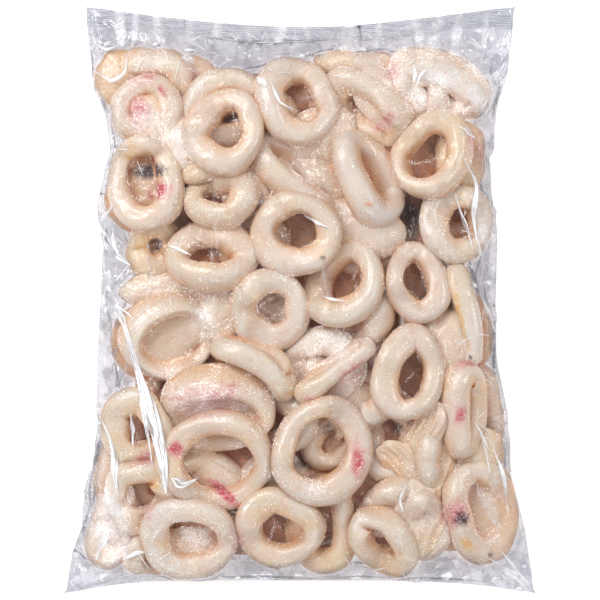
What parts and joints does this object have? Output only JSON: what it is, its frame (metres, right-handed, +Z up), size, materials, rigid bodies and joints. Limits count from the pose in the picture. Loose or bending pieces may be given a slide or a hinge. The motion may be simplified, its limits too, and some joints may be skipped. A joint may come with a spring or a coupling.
{
  "type": "bag of frozen squid rings",
  "caption": "Clear sealed pillow bag of frozen raw squid rings, lying flat, with a ribbed heat seal at the top and a plain weld at the bottom.",
  "frame": {"origin": "centre of the bag's box in plan, at the height of the table it lies on", "axes": "+Z up, from the side that lies on the table to the side that shows; +Y along the bag, towards the ribbed top seal; +X to the right when it is read from above"},
  "size_m": [0.266, 0.331, 0.0508],
  "materials": {
    "film": "thin clear glossy film, wrinkled"
  },
  "bodies": {
    "root": {"bag": "film"}
  },
  "joints": []
}
